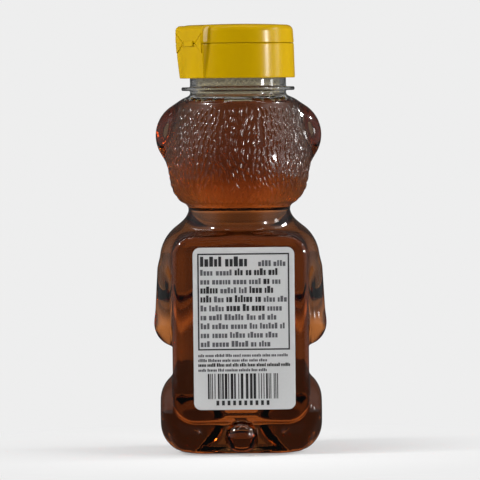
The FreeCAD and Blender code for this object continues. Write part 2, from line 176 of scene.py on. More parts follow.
# Closure
CAP_RADIUS = 20.4
CAP_INNER = 19.0
CAP_DRAFT = 0.3
CAP_EDGE = 0.3
CAP_BLEND = 0.5
CAP_BORE_EDGE = 0.25
DECK = 1.4
PAD_HALF = 10.0
PAD_DEPTH = 3.0
PAD_EDGE = 0.5
PAD_BLEND = 0.6
PAD_FADE = 1.0
PAD_FOOT = 0.6
WING_HEIGHT = 3.4
WING_WIDTH = 4.6
WING_OUTER = 9.1
WING_SLIT = 0.2
WING_THICKNESS = 0.7
WING_TIP = 0.96
WING_ROWS = 25
POCKET_DEPTH = 1.2
POCKET_EDGE = 0.2
LANDING_RADIUS = 18.3
LANDING_WALL = 1.2
LANDING_HEIGHT = 1.5
SPOUT_RADIUS = 4.8
SPOUT_HEIGHT = 3.0
SPOUT_EDGE = 0.4
SPOUT_BLEND = 1.4
ORIFICE_RADIUS = 3.2
LID_GAP = 0.09
LID_HEIGHT = 7.1
LID_CROWN = 0.6
LID_ROOF = 1.3
LID_EDGE = 2.0
LID_DRAFT = 0.45
LID_BORE_EDGE = 0.4
LIP_PROUD = 0.7
LIP_HALF = 6.0
LIP_HEIGHT = 1.8
LIP_EDGE = 0.6
LIP_BLEND = 0.4
PLUG_GAP = 0.25
PLUG_REACH = 1.6
PLUG_DRAFT = 0.35
PLUG_HOLLOW = 1.5
PLUG_HOLLOW_DEPTH = 3.0
SCOOP_RADIUS = 9.0
SCOOP_DEPTH = 1.1
SCOOP_DROP = 4.4
SCOOP_EDGE = 0.5
HINGE_ANGLE = math.radians(210)
FILM_WIDTH = 7.4
FILM_HEIGHT = 2.0
FILM_THICKNESS = 0.35
FILM_GAP = 0.06
FILM_ROWS = 13
PLATE_COLUMNS = 7

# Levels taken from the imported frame
HONEY_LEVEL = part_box("honey")[1].z / MM
NECK_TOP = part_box("bottle")[1].z / MM
CAP_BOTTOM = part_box("cap_base")[0].z / MM
LID_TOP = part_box("flip_lid")[1].z / MM
PARTING = LID_TOP - LID_HEIGHT
DECK_UNDER = PARTING - DECK

# Mesh grids, in millimetres
GRID_X = 34
GRID_Y = 30
GRID_MARGIN = 2
CAP_MARGIN = 3
SHELL_STEP = 1.1
INSIDE_STEP = 2.0
CLOSURE_STEP = 0.4
LONGEST_MOVE = 0.5


def smooth_union(a, b, reach):
    """Two forms joined, with a fillet of that reach between them."""
    share = np.clip(0.5 + 0.5 * (b - a) / reach, 0, 1)
    return b + (a - b) * share - reach * share * (1 - share)


def joined(whole, *forms):
    """A form with others joined to it in turn, each given with its fillet's reach."""
    for form, reach in forms:
        whole = smooth_union(whole, form, reach)
    return whole


def smooth_cut(a, b, reach):
    """The first form without the second, with the edge of the cut rounded."""
    return -smooth_union(-a, b, reach)


def rounded_meet(a, b, radius):
    """Where two forms overlap, with the edge between their faces rounded."""
    corner = np.hypot(np.maximum(a + radius, 0), np.maximum(b + radius, 0))
    return corner + np.minimum(np.maximum(a, b) + radius, 0) - radius


def ball_over(radius, depth):
    """The radius of the ball that a cap of this radius and depth is cut from."""
    return (radius**2 + depth**2) / (2 * depth)


def ball(p, centre, radius):
    x, y, z = p
    return np.sqrt((x - centre[0]) ** 2 + (y - centre[1]) ** 2 + (z - centre[2]) ** 2) - radius


def limb(p, start, end, radii):
    """A tapered limb with a ball at each end."""
    start_radius, end_radius = radii
    start = np.array(start)
    along = np.array(end) - start
    length2 = along @ along
    taper = start_radius - end_radius
    slant2 = length2 - taper**2
    from_start = [axis - place for axis, place in zip(p, start)]
    run = sum(part * step for part, step in zip(from_start, along))
    past = run - length2
    off2 = sum((part * length2 - step * run) ** 2 for part, step in zip(from_start, along))
    edge = np.sign(taper) * taper**2 * off2
    run2 = run**2 * length2
    past2 = past**2 * length2
    cone = (np.sqrt(off2 * slant2 / length2) + run * taper) / length2 - start_radius
    near = np.sqrt(off2 + run2) / length2 - start_radius
    far = np.sqrt(off2 + past2) / length2 - end_radius
    within = np.where(np.sign(run) * slant2 * run2 < edge, near, cone)
    return np.where(np.sign(past) * slant2 * past2 > edge, far, within)


def round_disc(flat, across, radius, half):
    """A disc with a fully round rim, from the distance off its axis and from its middle plane."""
    return np.hypot(np.maximum(flat - (radius - half), 0), across) - half


def rounded_rectangle(u, v, half_u, half_v, radius):
    du = np.abs(u) - half_u + radius
    dv = np.abs(v) - half_v + radius
    return np.hypot(np.maximum(du, 0), np.maximum(dv, 0)) + np.minimum(np.maximum(du, dv), 0) - radius


def torso(p):
    x, y, z = p
    middle = (TORSO_TOP + TORSO_BOTTOM) / 2
    outline = rounded_rectangle(x, z - middle, TORSO_SIDE, TORSO_TOP - middle, TORSO_CORNER)
    back = rounded_meet(outline, -TORSO_BACK - y, PANEL_EDGE)
    front = rounded_meet(outline, y - TORSO_FRONT, BELLY_EDGE)
    radius = ball_over(BELLY_RADIUS, BELLY_PROUD)
    dome = ball(p, (0, TORSO_FRONT + BELLY_PROUD - radius, BELLY_HEIGHT), radius)
    dome = np.maximum(dome, TORSO_FRONT - 2 * WALL - y)
    return smooth_union(np.maximum(back, front), dome, BELLY_BLEND)


def head_radius(z):
    """The head's outline off the neck axis at each height, its slope, and the height of the chin."""
    jowl_reach = (HEAD_RADIUS - JOWL_RADIUS) * math.cos(JOWL_ANGLE)
    jowl_height = HEAD_CENTRE - (HEAD_RADIUS - JOWL_RADIUS) * math.sin(JOWL_ANGLE)
    chin_drop = math.sqrt(JOWL_RADIUS**2 - (CHIN_RADIUS - CHIN_TUCK - jowl_reach) ** 2)
    jowl_z = np.clip(z - jowl_height, -chin_drop, 0)
    jowl = jowl_reach + np.sqrt(JOWL_RADIUS**2 - jowl_z**2)
    crown_reach = CROWN_RADIUS - CROWN_EDGE
    crown_rise = HEAD_TOP - CROWN_EDGE - HEAD_CENTRE
    span = math.hypot(crown_reach, crown_rise)
    slope = math.asin((HEAD_RADIUS - CROWN_EDGE) / span)
    turn = math.atan2(crown_rise, crown_reach) - math.pi / 2 + slope
    crown_start = HEAD_CENTRE + HEAD_RADIUS * math.sin(turn)
    jowl_rise = HEAD_RADIUS * math.sin(JOWL_ANGLE)
    face_z = np.clip(z - HEAD_CENTRE, -jowl_rise, crown_start - HEAD_CENTRE)
    face = np.sqrt(HEAD_RADIUS**2 - face_z**2)
    crown = HEAD_RADIUS * math.cos(turn) - (z - crown_start) * math.tan(turn)
    low = HEAD_CENTRE - jowl_rise
    outline = np.where(z < low, jowl, np.where(z < crown_start, face, crown))
    jowl_slope = -jowl_z / np.sqrt(JOWL_RADIUS**2 - jowl_z**2)
    face_slope = -face_z / face
    rate = np.where(z < low, jowl_slope, np.where(z < crown_start, face_slope, -math.tan(turn)))
    return outline, rate, jowl_height - chin_drop


def head(p):
    x, y, z = p
    outline, rate, chin = head_radius(z)
    side = (np.hypot(x, y) - outline) / np.sqrt(1 + rate**2)
    under = rounded_meet(side, chin - z, CHIN_EDGE)
    return rounded_meet(under, z - HEAD_TOP, CROWN_EDGE)


def collar(p):
    x, y, z = p
    middle = (SHOULDER_HEIGHT + HEAD_CENTRE) / 2
    return np.maximum(np.hypot(x, y) - CHIN_RADIUS, np.abs(z - middle) - (HEAD_CENTRE - middle))


def ear(p):
    x, y, z = p
    flat = np.hypot(x - EAR_CENTRE[0], z - EAR_CENTRE[2])
    across = y - EAR_CENTRE[1]
    near = np.hypot(flat / EAR_RADIUS, across / EAR_HALF)
    steep = np.hypot(flat / EAR_RADIUS**2, across / EAR_HALF**2)
    disc = near * (near - 1) / np.maximum(steep, 1e-6)
    radius = ball_over(EAR_DISH_RADIUS, EAR_DISH_DEPTH)
    dish_y = EAR_CENTRE[1] + EAR_HALF - EAR_DISH_DEPTH + radius
    return smooth_cut(disc, ball(p, (EAR_DISH_X, dish_y, EAR_CENTRE[2]), radius), EAR_DISH_BLEND)


def crossbar(p, end, radius):
    """A round bar from one side of the face to the other."""
    return limb(p, (-end[0], *end[1:]), end, (radius, radius))


def muzzle(p):
    return crossbar(p, MUZZLE_END, MUZZLE_RADIUS)


def arm(p):
    upper = limb(p, SHOULDER_JOINT, ELBOW, UPPER_ARM_RADII)
    fore = limb(p, ELBOW, WRIST, FOREARM_RADII)
    hand = limb(p, WRIST, PAW, HAND_RADII)
    return joined(upper, (fore, ELBOW_BLEND), (hand, WRIST_BLEND))


def haunch(p):
    """The rounded back of the sitting bear's thigh, a little proud of the seat."""
    return limb(p, HAUNCH_TOP, HAUNCH_LOW, HAUNCH_RADII)


def seat(p):
    x, y, z = p
    block = rounded_rectangle(x, y - SEAT_CENTRE[1], *SEAT_HALF[:2], SEAT_CORNER)
    return rounded_meet(block, np.abs(z - SEAT_CENTRE[2]) - SEAT_HALF[2], SEAT_EDGE)


def leg(p):
    x, y, z = p
    flat = np.hypot(y - LEG_CENTRE[1], z - LEG_CENTRE[2])
    thigh = round_disc(flat, x - LEG_CENTRE[0], LEG_RADIUS, LEG_HALF)
    return smooth_union(thigh, ball(p, FOOT_CENTRE, FOOT_RADIUS), FOOT_BLEND)


def bear(p):
    """The bear without its neck finish or face, negative inside."""
    x, y, z = p
    half = (np.abs(x), y, z)
    yoke_end = (SHOULDER_END, 0, SHOULDER_HEIGHT)
    yoke = limb(half, (0, 0, SHOULDER_HEIGHT), yoke_end, (SHOULDER_RADIUS, SHOULDER_RADIUS))
    top = joined(head(p), (ear(half), EAR_BLEND), (muzzle(p), MUZZLE_BLEND))
    low = joined(seat(p), (leg(half), LEG_BLEND), (haunch(half), HAUNCH_BLEND))
    whole = joined(
        torso(p),
        (yoke, SHOULDER_BLEND),
        (collar(p), COLLAR_BLEND),
        (arm(half), ARM_BLEND),
        (top, HEAD_BLEND),
        (low, SEAT_BLEND),
        (ball(p, TAIL_CENTRE, TAIL_RADIUS), TAIL_BLEND),
    )
    whole = rounded_meet(whole, -z, BASE_EDGE)
    dish = ball_over(BASE_DISH_RADIUS, BASE_DISH_DEPTH)
    return smooth_cut(whole, ball(p, (0, 0, BASE_DISH_DEPTH - dish), dish), BASE_DISH_BLEND)


def outside(p):
    """The bottle's outer surface, with the face and the foot of the neck."""
    x, y, z = p
    half = (np.abs(x), y, z)
    nose = crossbar(p, NOSE_END, NOSE_RADIUS)
    eye = ball(half, EYE_CENTRE, EYE_RADIUS)
    neck = np.maximum(np.hypot(x, y) - NECK_RADIUS, np.maximum(HEAD_CENTRE - z, z - NECK_TOP))
    return joined(bear(p), (nose, NOSE_BLEND), (eye, EYE_BLEND), (neck, NECK_BLEND))


def inside(p):
    """The bottle's inner surface."""
    x, y, z = p
    bore = np.maximum(np.hypot(x, y) - BORE_RADIUS, HEAD_TOP - 2 * CROWN_EDGE - z)
    return smooth_union(bear(p) + WALL, np.maximum(bore, z - NECK_TOP), BORE_BLEND)


def honey_body(p):
    """The fill, a hair inside the wall and level at the top."""
    return np.maximum(bear(p) + WALL + HONEY_GAP, p[2] - HONEY_LEVEL)


def gradient(distance, points, reach=0.05):
    columns = []
    for axis in range(3):
        shift = np.zeros(3)
        shift[axis] = reach
        columns.append(distance((points + shift).T) - distance((points - shift).T))
    return np.stack(columns, 1) / (2 * reach)


def unit(vectors):
    return vectors / np.maximum(np.linalg.norm(vectors, axis=1, keepdims=True), 1e-9)


def on_surface(distance, points, rounds=2):
    """Moves points along the gradient until they lie on the surface."""
    for _ in range(rounds):
        slope = gradient(distance, points)
        steep = np.maximum((slope**2).sum(1, keepdims=True), 0.05)
        gap = np.clip(distance(points.T), -LONGEST_MOVE, LONGEST_MOVE)
        points = points - gap[:, None] * slope / steep
    return points


def surface(distance, low, high, step):
    """Points and outward quads of the surface where the distance is nought."""
    axes = [np.arange(a, b + step, step) for a, b in zip(low, high)]
    grid_points = np.meshgrid(*axes, indexing="ij", sparse=True)
    shape = tuple(len(axis) for axis in axes)
    values = np.broadcast_to(distance(grid_points), shape)
    grid = openvdb.FloatGrid(background=FAR)
    grid.copyFromArray(np.ascontiguousarray(values, dtype=np.float32))
    points, quads = grid.convertToQuads(isovalue=0.0)
    points = on_surface(distance, np.asarray(points, float) * step + np.array(low))
    quads = np.asarray(quads, int)
    a, b, c = (points[quads[:, k]] for k in (0, 1, 2))
    outward = gradient(distance, points[quads[:, 0]])
    if (np.cross(b - a, c - a) * outward).sum() < 0:
        quads = quads[:, ::-1]
    return points, quads


def mesh_object(name, points, faces, *materials):
    """A smooth-shaded object from points in millimetres."""
    mesh = bpy.data.meshes.new(name)
    mesh.from_pydata((points * MM).tolist(), [], faces.tolist())
    return object_of(name, mesh, *materials)


def bmesh_of(points, faces):
    bm = bmesh.new()
    verts = [bm.verts.new(point) for point in points]
    for face in faces:
        bm.faces.new([verts[k] for k in face])
    return bm


def mesh_from(name, bm):
    mesh = bpy.data.meshes.new(name)
    bm.to_mesh(mesh)
    bm.free()
    return mesh


def in_scene(name, data):
    obj = bpy.data.objects.new(name, data)
    bpy.context.scene.collection.objects.link(obj)
    return obj


def object_of(name, mesh, *materials):
    for material in materials:
        mesh.materials.append(material)
    mesh.shade_smooth()
    return in_scene(name, mesh)


def set_normals(mesh, normals):
    """Shading normals from the field, kept off the few points where they lean far from the faces."""
    flat = np.empty(len(mesh.vertices) * 3, np.float32)
    mesh.vertex_normals.foreach_get("vector", flat)
    agree = (flat.reshape(-1, 3) * normals).sum(1) > 0.8
    mesh.normals_split_custom_set_from_vertices((normals * agree[:, None]).tolist())


def field_object(name, distance, low, high, step, material):
    """An object whose surface and shading normals come straight from a distance field."""
    points, quads = surface(distance, low, high, step)
    obj = mesh_object(name, points, quads, material)
    set_normals(obj.data, unit(gradient(distance, points)))
    return obj


# Materials


def new_material(name):
    material = bpy.data.materials.new(name)
    material.use_nodes = True
    tree = material.node_tree
    return material, tree, tree.nodes["Principled BSDF"]


def set_inputs(made, **values):
    for name, value in values.items():
        made.inputs[name.replace("_", " ")].default_value = value
    return made


def node(tree, kind, **values):
    return set_inputs(tree.nodes.new(kind), **values)


def noise(tree, scale, detail=3.0):
    """Cloudy grain that stays with the object."""
    spot = tree.nodes.new("ShaderNodeTexCoord")
    made = node(tree, "ShaderNodeTexNoise", Scale=scale, Detail=detail)
    tree.links.new(spot.outputs["Object"], made.inputs["Vector"])
    return made.outputs["Fac"]


def bumped(tree, shader, height, strength, distance):
    bump = node(tree, "ShaderNodeBump", Strength=strength, Distance=distance)
    tree.links.new(height, bump.inputs["Height"])
    tree.links.new(bump.outputs["Normal"], shader.inputs["Normal"])


def roughened(tree, shader, grain, low, high):
    spread = node(tree, "ShaderNodeMapRange", To_Min=low, To_Max=high)
    tree.links.new(grain, spread.inputs["Value"])
    tree.links.new(spread.outputs["Result"], shader.inputs["Roughness"])


def tinted(tree, shader, grain, low, high):
    ramp = tree.nodes.new("ShaderNodeValToRGB")
    for stop, colour in zip(ramp.color_ramp.elements, (low, high)):
        stop.color = (*colour, 1)
    tree.links.new(grain, ramp.inputs["Fac"])
    tree.links.new(ramp.outputs["Color"], shader.inputs["Base Color"])


def translucent(shader, weight, radius):
    set_inputs(shader, Subsurface_Weight=weight, Subsurface_Radius=radius, Subsurface_Scale=0.001)


def see_through(name, colour, bending):
    material, tree, shader = new_material(name)
    set_inputs(shader, Base_Color=colour, Transmission_Weight=1.0, IOR=bending)
    return material, tree, shader


def clear_plastic(name, smooth, rough):
    material, tree, shader = see_through(name, (0.97, 0.97, 0.95, 1), 1.5)
    ripple = noise(tree, 90.0, 2.0)
    roughened(tree, shader, ripple, smooth, rough)
    set_inputs(shader, Coat_Weight=0.8, Coat_Roughness=0.12)
    bumped(tree, shader, ripple, 0.25, 0.0003)
    return material


def smeared_wall():
    """The bore above the fill, tinted by the thin coat of honey that clings there."""
    material, tree, shader = see_through("smeared_wall", (0.97, 0.86, 0.58, 1), 1.5)
    drips = noise(tree, 160.0, 2.0)
    roughened(tree, shader, drips, 0.0, 0.12)
    bumped(tree, shader, drips, 0.2, 0.0003)
    return material


def straight_through(name):
    """A face between two clear bodies that touch, so that light isn't bent there."""
    material, _, shader = see_through(name, (1, 1, 1, 1), 1.0)
    set_inputs(shader, Roughness=0.0)
    return material


def honey_material():
    material = straight_through("honey")
    tree = material.node_tree
    depth = node(tree, "ShaderNodeVolumeAbsorption", Density=105.0, Color=(0.82, 0.47, 0.05, 1))
    tree.links.new(depth.outputs["Volume"], tree.nodes["Material Output"].inputs["Volume"])
    return material


def cap_plastic():
    material, tree, shader = new_material("cap_plastic")
    tinted(tree, shader, noise(tree, 60.0), (0.47, 0.28, 0.0), (0.53, 0.33, 0.0))
    grain = noise(tree, 2600.0, 2.0)
    roughened(tree, shader, grain, 0.14, 0.28)
    set_inputs(shader, Specular_IOR_Level=0.22)
    translucent(shader, 0.1, (1.0, 0.6, 0.1))
    bumped(tree, shader, grain, 0.12, 0.0001)
    return material


def label_film():
    """Silver-grey film, thin enough for some light to come through."""
    material, tree, shader = new_material("label_film")
    grain = noise(tree, 1500.0)
    tinted(tree, shader, grain, (0.63, 0.65, 0.65), (0.69, 0.71, 0.71))
    roughened(tree, shader, grain, 0.38, 0.5)
    translucent(shader, 0.6, (1.0, 1.0, 1.0))
    bumped(tree, shader, grain, 0.08, 0.00005)
    return material


def label_ink(name, low, high):
    material, tree, shader = new_material(name)
    grain = noise(tree, 3000.0)
    tinted(tree, shader, grain, (low, low, 1.1 * low), (high, high, 1.1 * high))
    roughened(tree, shader, grain, 0.4, 0.55)
    return material


def liner_foam():
    material, tree, shader = new_material("liner")
    cells = noise(tree, 2200.0, 4.0)
    tinted(tree, shader, cells, (0.72, 0.71, 0.68), (0.84, 0.83, 0.80))
    set_inputs(shader, Roughness=0.7)
    bumped(tree, shader, cells, 0.3, 0.0001)
    return material


# Bottle


FUR_LOW = 89.5
FUR_HIGH = 127.0
FACE_FRONT = 19.0
STROKE_GAP = 1.9
STROKE_ROW = 2.7
STROKE_LENGTH = 3.2
STROKE_WIDTH = 1.35
STROKE_HEIGHT = 0.42
STROKE_JITTER = 0.3
STROKE_RISE = 0.9
STROKE_LEAN = 0.18
STROKE_SWAY = 0.16
STROKE_WAVE = 0.18
FUR_MARGIN = 0.4
FUR_FADE = 1.2
FUR_END_FADE = 1.5
FUR_REACH = 0.08

# Which wall a face of the bottle belongs to, and then which material it has
OUTER, INNER, NECK = range(3)
CLEAR, WET, SATIN, SMEARED = range(4)


def strokes():
    """Angle, middle, lean, length and height of each short ridge of moulded fur on the head."""
    draw = random.Random(7)
    made = []
    rows = int((FUR_HIGH - FUR_LOW) / STROKE_ROW)
    for row in range(rows):
        height = FUR_LOW + (row + 0.5) * STROKE_ROW
        around = 2 * math.pi * float(head_radius(np.array(height))[0])
        count = int(around / STROKE_GAP)
        for k in range(count):
            step = k + 0.5 * (row % 2) + draw.uniform(-STROKE_JITTER, STROKE_JITTER)
            turn = 2 * math.pi * step / count
            middle = height + draw.uniform(-STROKE_RISE, STROKE_RISE)
            lean = draw.gauss(0, STROKE_LEAN) + STROKE_SWAY * math.sin(turn * 3 + row * 0.7)
            length = STROKE_LENGTH * draw.uniform(0.7, 1.25)
            made.append((turn, middle, lean, length, STROKE_HEIGHT * draw.uniform(0.6, 1.2)))
    return made


def fur_share(points):
    """1 on the furred head, falling to 0 on ears, muzzle, eyes, crown and collar."""
    half = np.abs(points[:, 0]), points[:, 1], points[:, 2]
    clear = np.minimum(ear(half), muzzle(points.T))
    clear = np.minimum(clear, ball(half, EYE_CENTRE, EYE_RADIUS + 1))
    ends = np.minimum(points[:, 2] - FUR_LOW, FUR_HIGH - points[:, 2])
    return np.clip(np.minimum((clear - FUR_MARGIN) / FUR_FADE, ends / FUR_END_FADE), 0, 1)


def fur_height(points, ridges):
    """How far the moulded fur stands proud at each point of the head."""
    turn = np.arctan2(points[:, 1], points[:, 0]) % (2 * math.pi)
    off = np.hypot(points[:, 0], points[:, 1])
    order = np.argsort(points[:, 2])
    sorted_z = points[order, 2]
    height = np.zeros(len(points))
    for angle, middle, lean, length, proud in ridges:
        first, last = np.searchsorted(sorted_z, [middle - length / 2, middle + length / 2])
        near = order[first:last]
        across = (turn[near] - angle + math.pi) % (2 * math.pi) - math.pi
        across = across * off[near]
        up = points[near, 2] - middle
        wave = STROKE_WAVE * np.sin(up * 1.7 + angle * 9)
        aside = (across - lean * up - wave) / (STROKE_WIDTH / 2)
        along = up / (length / 2)
        shape = np.clip(1 - aside**2, 0, 1) ** 2 * np.clip(1 - along**2, 0, 1)
        height[near] = np.maximum(height[near], proud * shape)
    return height * fur_share(points)


def cut_at_seam(points, quads):
    """A bmesh of the surface below the neck seam."""
    bm = bmesh_of(points, quads)
    geometry = bm.verts[:] + bm.edges[:] + bm.faces[:]
    bmesh.ops.bisect_plane(
        bm, geom=geometry, plane_co=(0, 0, NECK_SEAM), plane_no=(0, 0, 1), clear_outer=True
    )
    return bm


def furred(bm):
    """Splits the faces of the furred head and the face in nine, so that they have points enough."""
    faces = bm.faces[:]
    centres = np.array([face.calc_center_median() for face in faces])
    fine = (fur_share(centres) > 0) | ((centres[:, 1] > FACE_FRONT) & (centres[:, 2] > FUR_LOW))
    chosen = [face for face, split in zip(faces, fine) if split]
    edges = list({edge for face in chosen for edge in face.edges})
    bmesh.ops.subdivide_edges(bm, edges=edges, cuts=2, use_grid_fill=True)


def stitched(bm, start, end):
    """Triangles from one round loop of points to the next, whatever their counts."""
    def by_angle(loop):
        return sorted(loop, key=lambda v: math.atan2(v.co.y, v.co.x))

    def turn(loop, k):
        v = loop[k % len(loop)]
        return math.atan2(v.co.y, v.co.x) + 2 * math.pi * (k // len(loop))

    start, end = by_angle(start), by_angle(end)
    made = []
    i = j = 0
    while i < len(start) or j < len(end):
        a, b = start[i % len(start)], end[j % len(end)]
        if j == len(end) or (i < len(start) and turn(start, i + 1) < turn(end, j + 1)):
            i += 1
            made.append(bm.faces.new((a, start[i % len(start)], b)))
        else:
            j += 1
            made.append(bm.faces.new((a, end[j % len(end)], b)))
    return made


def neck_profile():
    """The neck finish from the seam up its outside, over the rim and down its bore."""
    root = 0.5
    lip = 0.45
    rim = 0.5
    arcs = (
        (NECK_RADIUS + root, BEAD_BOTTOM - root, root, 180, 90),
        (BEAD_RADIUS - lip, BEAD_BOTTOM + lip, lip, -90, 0),
        (BEAD_RADIUS - lip, BEAD_TOP - lip, lip, 0, 90),
        (NECK_RADIUS + root, BEAD_TOP + root, root, 270, 180),
        (NECK_RADIUS - rim, NECK_TOP - rim, rim, 0, 90),
        (BORE_RADIUS + rim, NECK_TOP - rim, rim, 90, 180),
    )
    foot = NECK_SEAM + rim / 2
    profile = [(NECK_RADIUS, foot)]
    for r, z, radius, start, end in arcs:
        for turn in np.radians(np.linspace(start, end, 5)):
            profile.append((r + radius * math.cos(turn), z + radius * math.sin(turn)))
    return profile + [(BORE_RADIUS, foot)]


def ring(bm, radius, height):
    turns = [2 * math.pi * k / NECK_SEGMENTS for k in range(NECK_SEGMENTS)]
    return [bm.verts.new((radius * math.cos(t), radius * math.sin(t), height)) for t in turns]


def bear_grid(top):
    """The corners of a grid round the bear, up to a height."""
    return (-GRID_X, -GRID_Y, -GRID_MARGIN), (GRID_X, GRID_Y, top + GRID_MARGIN)


def bottle_mesh():
    """Outer and inner walls joined by the turned neck finish, as one closed shell."""
    grid = bear_grid(NECK_SEAM)
    outer = cut_at_seam(*surface(outside, *grid, SHELL_STEP))
    furred(outer)
    inner_points, inner_quads = surface(inside, *grid, INSIDE_STEP)
    inner = cut_at_seam(inner_points, inner_quads[:, ::-1])
    bm = bmesh.new()
    for part, wall in ((outer, OUTER), (inner, INNER)):
        for face in part.faces:
            face.material_index = wall
        piece = mesh_from("wall", part)
        bm.from_mesh(piece)
        bpy.data.meshes.remove(piece)
    middle = (NECK_RADIUS + BORE_RADIUS) / 2
    rim = {v for e in bm.edges if e.is_boundary for v in e.verts}
    outer_rim = [v for v in rim if v.co.xy.length > middle]
    inner_rim = [v for v in rim if v.co.xy.length < middle]
    rings = [ring(bm, r, z) for r, z in neck_profile()]
    made = stitched(bm, outer_rim, rings[0])
    for a, b in zip(rings, rings[1:]):
        for k in range(NECK_SEGMENTS):
            made.append(bm.faces.new((a[k - 1], a[k], b[k], b[k - 1])))
    made += stitched(bm, rings[-1], inner_rim)
    for face in made:
        face.material_index = NECK
    return bm


def choose_materials(mesh):
    """Gives each face of the bottle its material by its wall and its place."""
    centres = np.array([polygon.center for polygon in mesh.polygons]) / MM
    furry = fur_share(centres) > 0.3
    bore = np.hypot(centres[:, 0], centres[:, 1]) < BORE_RADIUS + 0.1
    filled = centres[:, 2] < HONEY_LEVEL
    for polygon, fur, inner, wet in zip(mesh.polygons, furry, bore, filled):
        if polygon.material_index == INNER:
            polygon.material_index = WET if wet else SMEARED
        elif polygon.material_index == NECK:
            polygon.material_index = SMEARED if inner else CLEAR
        else:
            polygon.material_index = SATIN if fur else CLEAR


def bottle_shell(clear, wet, satin, smeared):
    mesh = mesh_from("bottle_shell", bottle_mesh())
    points = np.array([v.co for v in mesh.vertices], float)
    wall = np.full(len(points), NECK)
    for polygon in mesh.polygons:
        if polygon.material_index != NECK:
            wall[list(polygon.vertices)] = polygon.material_index
    normals = np.zeros_like(points)
    outer = wall == OUTER
    inner = wall == INNER
    points[outer] = on_surface(outside, points[outer], 1)
    normals[outer] = unit(gradient(outside, points[outer]))
    normals[inner] = -unit(gradient(inside, points[inner]))
    head_points = outer & (points[:, 2] > FUR_LOW - 1) & (points[:, 2] < FUR_HIGH + 1)
    points[head_points], normals[head_points] = with_fur(points[head_points], normals[head_points])
    mesh.vertices.foreach_set("co", (points * MM).ravel().astype(np.float32))
    mesh.update()
    choose_materials(mesh)
    obj = object_of("bottle_shell", mesh, clear, wet, satin, smeared)
    set_normals(mesh, normals)
    return obj


def with_fur(points, normals):
    """Raises the head's points by the fur and turns their normals by its slope."""
    ridges = strokes()
    round_way = unit(np.stack([-points[:, 1], points[:, 0], 0 * points[:, 0]], 1))
    up_way = np.cross(normals, round_way)
    raised = fur_height(points, ridges)
    tilt = np.zeros_like(points)
    for way in (round_way, up_way):
        ahead = fur_height(points + way * FUR_REACH, ridges)
        behind = fur_height(points - way * FUR_REACH, ridges)
        tilt += way * ((ahead - behind) / (2 * FUR_REACH))[:, None]
    return points + normals * raised[:, None], unit(normals - tilt)


# Threads


def swept(name, rings, material):
    """A closed form through rings of points, with a face at both ends."""
    size = len(rings[0])
    last = (len(rings) - 1) * size
    faces = [range(size), range(last, last + size)]
    for a in range(0, last, size):
        for j in range(size):
            k = (j + 1) % size
            faces.append((a + j, a + k, a + k + size, a + j + size))
    bm = bmesh_of(np.concatenate(rings) * MM, faces)
    bmesh.ops.recalc_face_normals(bm, faces=bm.faces[:])
    return object_of(name, mesh_from(name, bm), material)


def helix_ridge(name, root, crest, start, turns, material):
    """A screw thread: a rounded ridge from root to crest along a helix, tapering out at both ends."""
    steps = int(turns * THREAD_STEPS)
    half = THREAD_WIDTH / 2
    section = [(0.0, -half), (0.75, -half / 2), (1.0, -half / 5)]
    section += [(share, -rise) for share, rise in reversed(section)]
    rings = []
    for share in np.linspace(0, 1, steps + 1):
        fade = min(1.0, THREAD_FADE * min(share, 1 - share))
        turn = THREAD_PHASE + 2 * math.pi * turns * share
        height = start + THREAD_PITCH * turns * share
        points = []
        for out, rise in section:
            reach = root + (crest - root) * out * fade
            points.append((reach * math.cos(turn), reach * math.sin(turn), height + rise))
        rings.append(points)
    return swept(name, rings, material)


# Closure


def hinge_frame(p):
    """The point out towards the hinge, across that way, off the neck axis, and up."""
    x, y, z = p
    out = x * math.cos(HINGE_ANGLE) + y * math.sin(HINGE_ANGLE)
    across = y * math.cos(HINGE_ANGLE) - x * math.sin(HINGE_ANGLE)
    return out, across, np.hypot(x, y), z


def pockets(out, across, z, margin):
    """The triangular recesses behind both wings."""
    outer = WING_OUTER + margin
    rise = WING_HEIGHT + 2 * margin
    width = WING_WIDTH + 3 * margin
    length = math.hypot(rise, width)
    side = np.abs(across)
    slant = (np.abs(z - PARTING) * width - (side - (outer - width)) * rise) / length
    return np.maximum(np.maximum(slant, side - outer), CAP_RADIUS - POCKET_DEPTH - out)


def hinge_pad(face, out, across, half):
    """The flat pad on the hinge side, from its outer face, kept off the middle of the cap."""
    pad = rounded_meet(face, np.abs(across) - half, PAD_EDGE)
    return np.maximum(pad, CAP_INNER - PAD_DEPTH - out)


